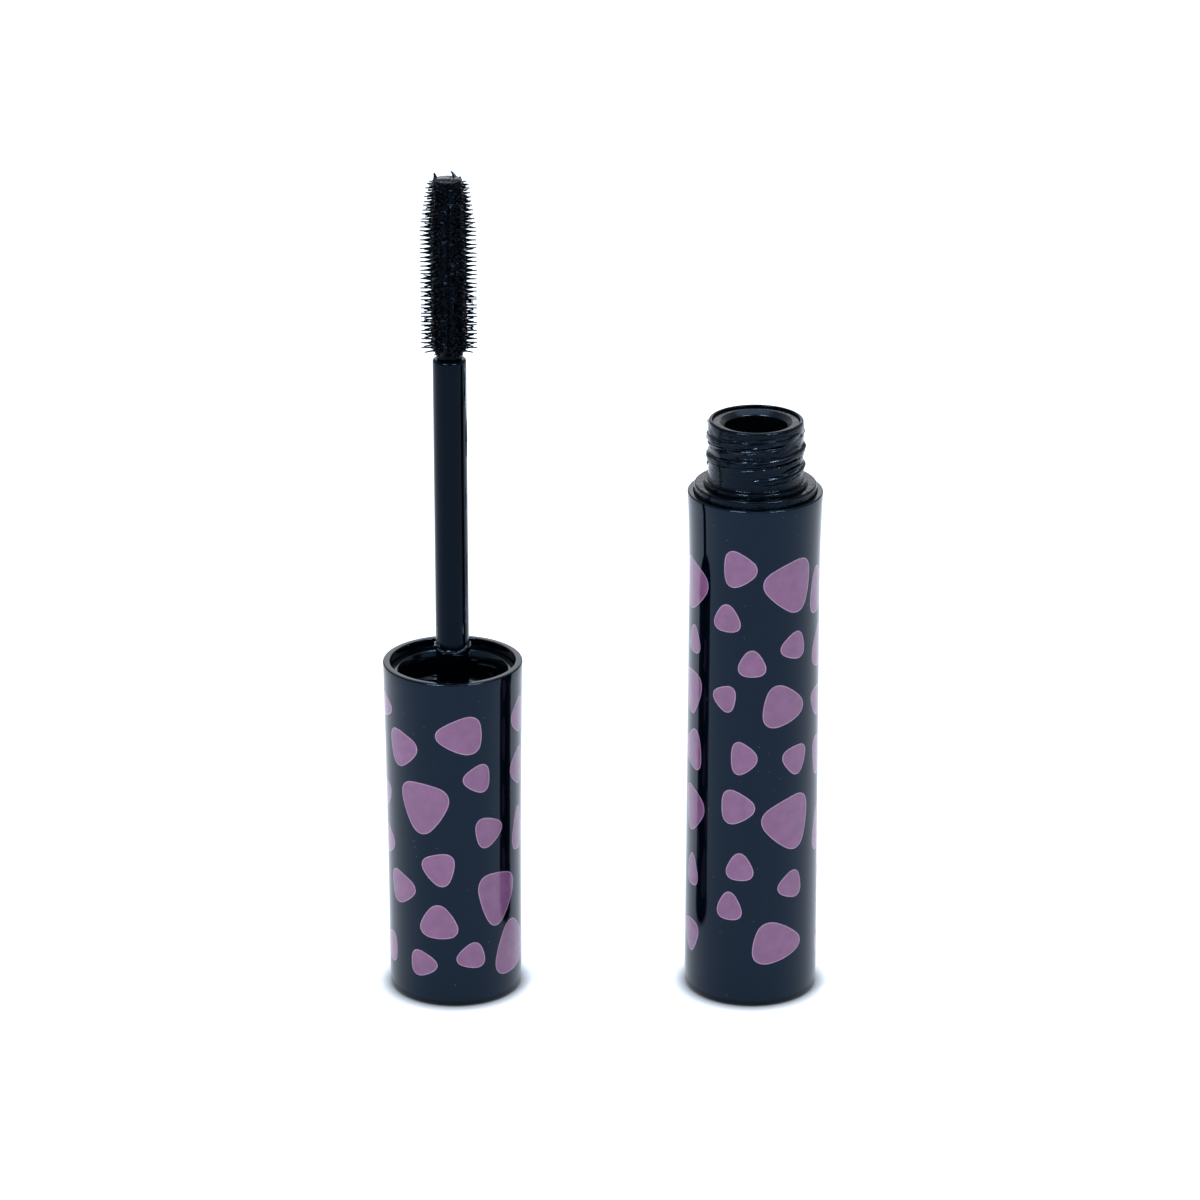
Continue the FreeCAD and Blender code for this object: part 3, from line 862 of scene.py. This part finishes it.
tip_smears = bmesh.new()
add_to(tip_smears, wisp(0.95, 1.1, 1.2, 1.18, 0.65, -0.55))
add_to(tip_smears, wisp(-1.45, 0.9, 1.3, 1.1, 0.6, -0.2))
add_to(tip_smears, wisp(1.5, 0.5, 1.4, 0.85, 0.5, 0.05))
add_to(tip_smears, puddle(-0.5, 0.2, 0.8, 1.1, 1.2, 0.2))
add_to(tip_smears, puddle(1.0, 0.1, 0.85, 0.8, 1.3, 0.25))
finished("tip_smears", tip_smears, "cap", [wet_mascara], sharp=80)

# %% [markdown]
# ## The floor
# The pair stands on a seamless white floor. Seen directly, in a reflection or through something
# clear, the floor glows towards white, which a lamp could only do by washing out the print as
# well. Close to the feet both its colour and its glow are darkened by ambient occlusion, for the
# contact shadow.

# %% Floor
floor_bm = bmesh.new()
bmesh.ops.create_grid(floor_bm, x_segments=2, y_segments=2, size=4)
floor_mesh = bpy.data.meshes.new("floor")
floor_bm.to_mesh(floor_mesh)
floor_bm.free()
floor = bpy.data.objects.new("floor", floor_mesh)
floor.location.z = -0.02 * mm
bpy.context.scene.collection.objects.link(floor)
shadow_reach = 1.8
shadow_power = 2.0
floor_glow = 0.75
floor_material, tree, shader, _ = new_material(
    "matt_white_floor", Roughness=1.0, Specular_IOR_Level=0.0,
    Emission_Color=linear("#dceaff"))
path = add_node(tree, "ShaderNodeLightPath", {})
seen = add_node(tree, "ShaderNodeMath", {
    0: path.outputs["Is Camera Ray"], 1: path.outputs["Is Glossy Ray"]}, operation="MAXIMUM")
seen = add_node(tree, "ShaderNodeMath", {
    0: seen.outputs[0], 1: path.outputs["Is Transmission Ray"]}, operation="MAXIMUM")
contact = add_node(tree, "ShaderNodeAmbientOcclusion", {"Distance": shadow_reach * mm}, samples=8)
darker = add_node(tree, "ShaderNodeMath", {
    0: contact.outputs["AO"], 1: shadow_power}, operation="POWER")
shaded = add_node(tree, "ShaderNodeMix", {
    "Factor": darker.outputs[0], 6: linear("#8f9398"), 7: linear("#f2f4f6")}, data_type="RGBA")
tree.links.new(shaded.outputs[2], shader.inputs["Base Color"])
lift = add_node(tree, "ShaderNodeMath", {0: seen.outputs[0], 1: darker.outputs[0]}, operation="MULTIPLY")
lift = add_node(tree, "ShaderNodeMath", {0: lift.outputs[0], 1: floor_glow}, operation="MULTIPLY")
tree.links.new(lift.outputs[0], shader.inputs["Emission Strength"])
floor_mesh.materials.append(floor_material)
print("made", floor_material.name)

# %% [markdown]
# ## Room and lamps
# Black gloss shows little but a picture of the room round it, so an evenly pale room gives it
# its cool grey, with the other group as a dark band. A large softbox overhead fills in from
# above, and a small lamp in front picks out the edges. Two long lamps are seen only in
# reflections, where they draw the bright dashes on the wet neck and on the brush. The last
# softbox lights the floor behind the pair.

# %% Room and lamps
room_strength = 0.5
world = bpy.data.worlds.new("pale_room")
world.use_nodes = True
bpy.context.scene.world = world
room = world.node_tree.nodes["Background"]
room.inputs["Color"].default_value = linear("#f7fbff")
room.inputs["Strength"].default_value = room_strength


def softbox(name, place, width, height, watts, lights_all=True):
    """Rectangular lamp that faces the object; lights_all off leaves it only to reflections."""
    data = bpy.data.lights.new(name, "AREA")
    data.shape = "RECTANGLE"
    data.energy = watts
    data.size = width
    data.size_y = height
    lamp = bpy.data.objects.new(name, data)
    lamp.location = place
    lamp.rotation_euler = (-lamp.location).to_track_quat("-Z", "Y").to_euler()
    lamp.visible_diffuse = lights_all
    bpy.context.scene.collection.objects.link(lamp)


softbox("top_softbox", (0.1, 0.1, 0.9), 0.7, 0.7, 2.6)
softbox("front_lamp", (-0.35, -0.5, 0.8), 0.16, 0.16, 2.0)
softbox("left_sparkle", (-0.4, -0.6, 0.7), 0.4, 0.1, 8.0, lights_all=False)
softbox("right_sparkle", (0.5, -0.55, 0.7), 0.4, 0.1, 8.0, lights_all=False)
softbox("back_softbox", (0.1, 1.0, 0.42), 0.7, 0.2, 0.5)
bpy.context.scene.view_settings.view_transform = "Standard"
print("room lit")
